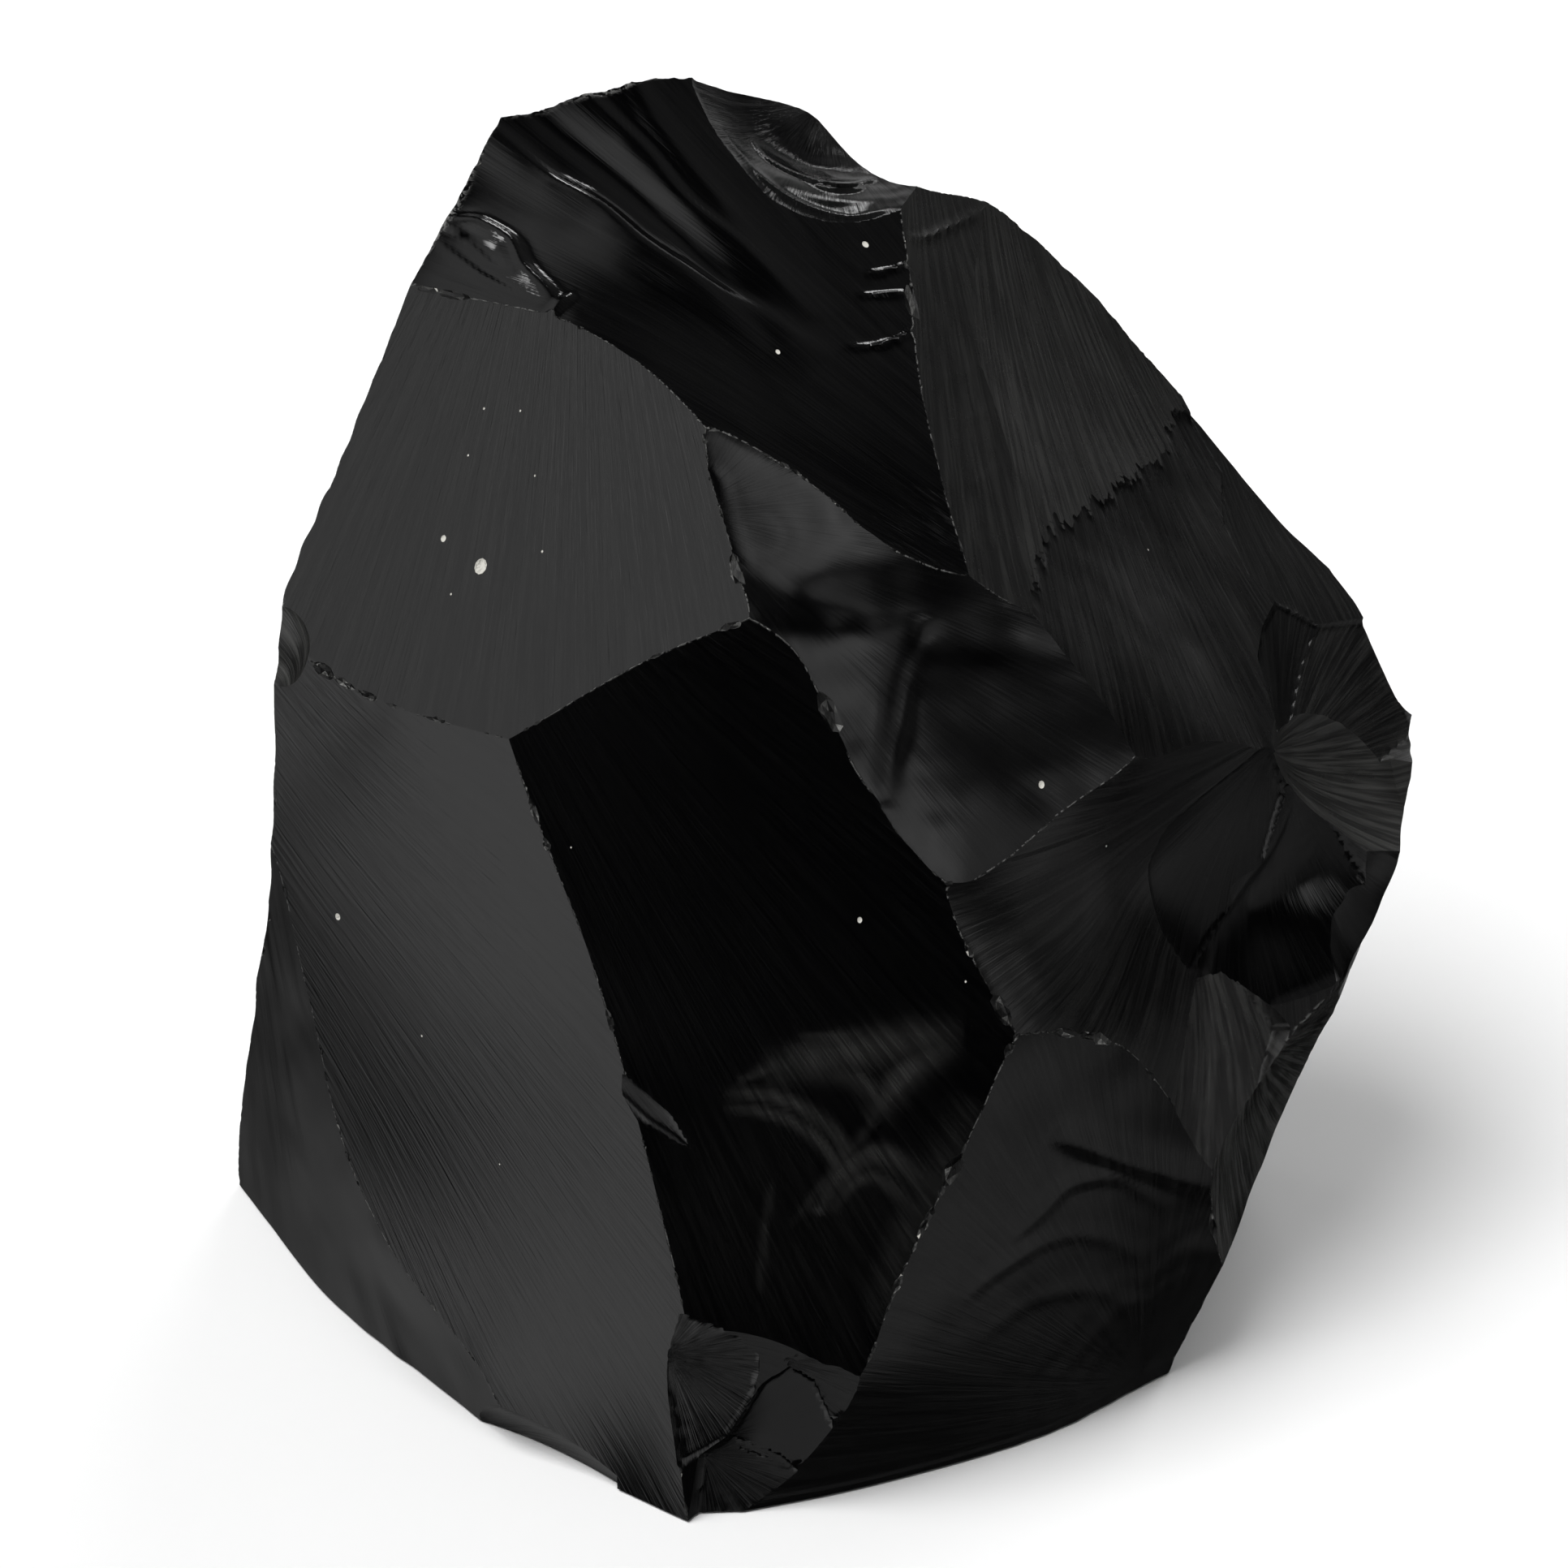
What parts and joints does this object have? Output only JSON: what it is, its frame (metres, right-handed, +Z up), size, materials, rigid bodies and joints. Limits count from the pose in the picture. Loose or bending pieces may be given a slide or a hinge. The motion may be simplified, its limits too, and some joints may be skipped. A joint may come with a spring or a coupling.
{
  "type": "obsidian chunk",
  "caption": "Fist-sized black obsidian chunk, one piece of volcanic glass with flat and shell-like fracture faces and sharp ridges, standing on a flat underside.",
  "frame": {"origin": "on the flat underside that the stone stands on, below the middle of the stone", "axes": "+Z up, -Y towards the broad black middle face, +X towards the side with the struck bowl"},
  "size_m": [0.0851, 0.0631, 0.0827],
  "materials": {
    "obsidian": "opaque black volcanic glass, mirror-bright on the flat breaks, satin on the rippled ones, with crushed pale ridges and a few small pale specks"
  },
  "bodies": {
    "root": {"obsidian_chunk": "obsidian"}
  },
  "joints": []
}
